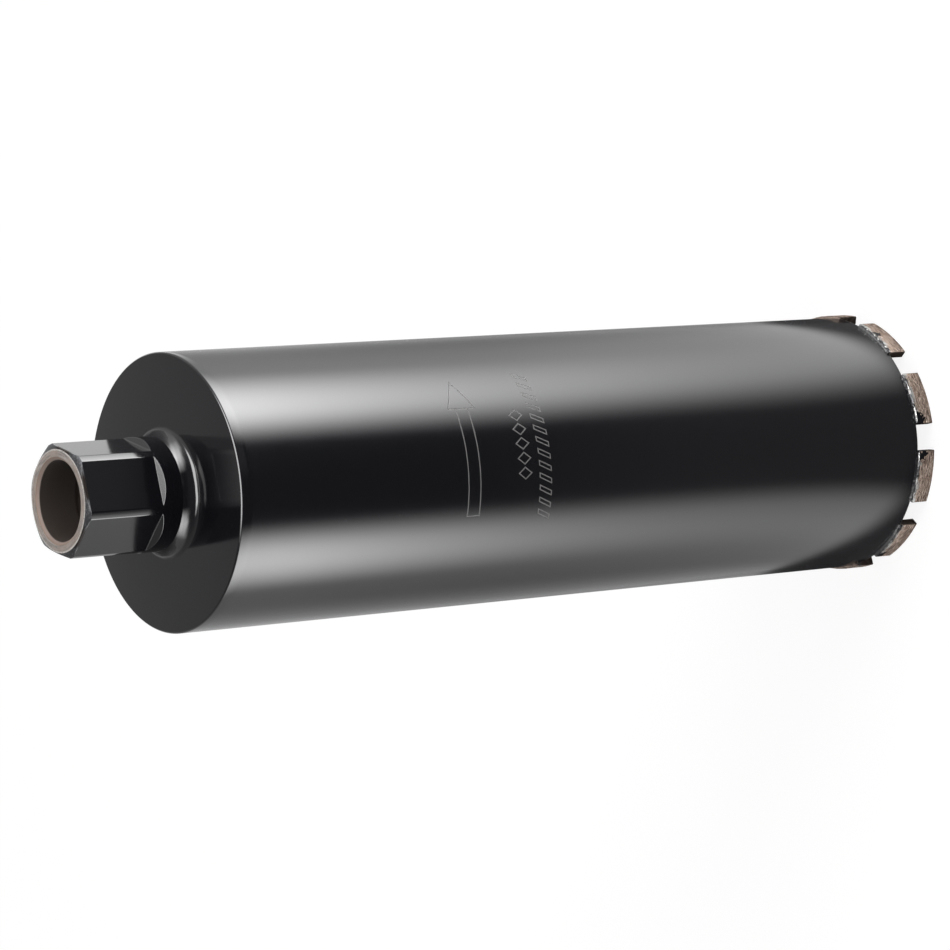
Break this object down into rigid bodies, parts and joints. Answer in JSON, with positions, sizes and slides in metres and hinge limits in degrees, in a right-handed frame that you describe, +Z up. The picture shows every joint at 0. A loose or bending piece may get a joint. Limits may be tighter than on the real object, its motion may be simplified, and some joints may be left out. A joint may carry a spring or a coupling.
{
  "type": "core drill bit",
  "caption": "Wet diamond core bit: a thin steel barrel with brazed cutting segments at its foot, a flat end plate and a threaded hex hub for a drilling machine.",
  "frame": {"origin": "on the axis, in the plane of the segments' tips, at the foot of the standing bit", "axes": "+Z up the axis from the crown to the hub, +X through the middle of segment_01"},
  "size_m": [0.114, 0.1134, 0.4114],
  "materials": {
    "barrel_paint": "satin-gloss black",
    "plate_paint": "satin-gloss black",
    "hub_paint": "satin-gloss black outside, bare turned steel on the face and in the bore",
    "bead_paint": "satin-gloss black",
    "segment_metal": "sintered, ground along the arc",
    "braze_metal": "bright, partly painted over"
  },
  "bodies": {
    "root": {"barrel_tube": "barrel_paint", "end_plate": "plate_paint", "drive_hub": "hub_paint", "hub_weld": "bead_paint", "segment_01": "segment_metal", "segment_02": "segment_metal", "segment_03": "segment_metal", "segment_04": "segment_metal", "segment_05": "segment_metal", "segment_06": "segment_metal", "segment_07": "segment_metal", "segment_08": "segment_metal", "segment_09": "segment_metal", "segment_10": "segment_metal", "braze_01": "braze_metal", "braze_02": "braze_metal", "braze_03": "braze_metal", "braze_04": "braze_metal", "braze_05": "braze_metal", "braze_06": "braze_metal", "braze_07": "braze_metal", "braze_08": "braze_metal", "braze_09": "braze_metal", "braze_10": "braze_metal"}
  },
  "joints": []
}
